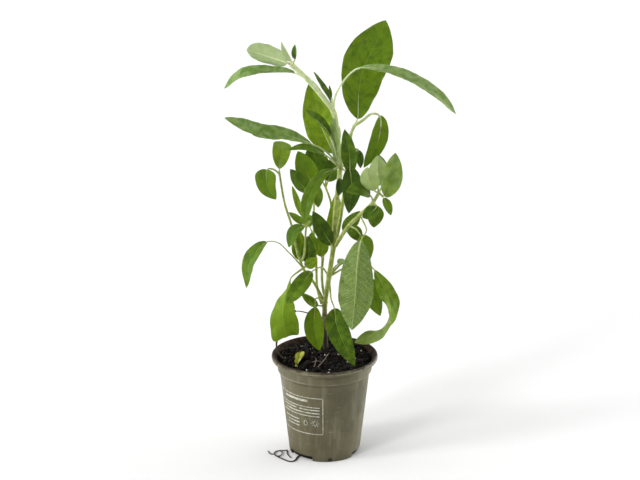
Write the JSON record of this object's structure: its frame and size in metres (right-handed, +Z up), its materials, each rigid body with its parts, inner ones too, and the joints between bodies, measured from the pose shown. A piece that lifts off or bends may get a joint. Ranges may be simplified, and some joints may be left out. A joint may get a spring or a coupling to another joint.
{
  "type": "potted sage",
  "caption": "Round tapering nursery pot with a rolled rim, filled with potting mix and holding one branching sage plant with long leaves.",
  "frame": {"origin": "centre of the pot's flat base, on the surface it stands on", "axes": "+Z up along the pot's axis, -Y the front, +X to the right as seen from the front"},
  "size_m": [0.2099, 0.133, 0.4083],
  "materials": {
    "pot_plastic": "soft gloss",
    "potting_mix": "matt",
    "bark": "matt",
    "sage_green": "downy",
    "yellow_leaf": "matt",
    "root": "matt"
  },
  "bodies": {
    "root": {"pot": "pot_plastic", "soil": "potting_mix", "woody_stem": "bark", "leader_shoot": "sage_green", "upright_shoot": "sage_green", "right_shoot": "sage_green", "left_shoot": "sage_green", "middle_left_shoot": "sage_green", "back_shoot": "sage_green", "inner_left_shoot": "sage_green", "fallen_leaf": "yellow_leaf", "root_tuft": "root"}
  },
  "joints": []
}
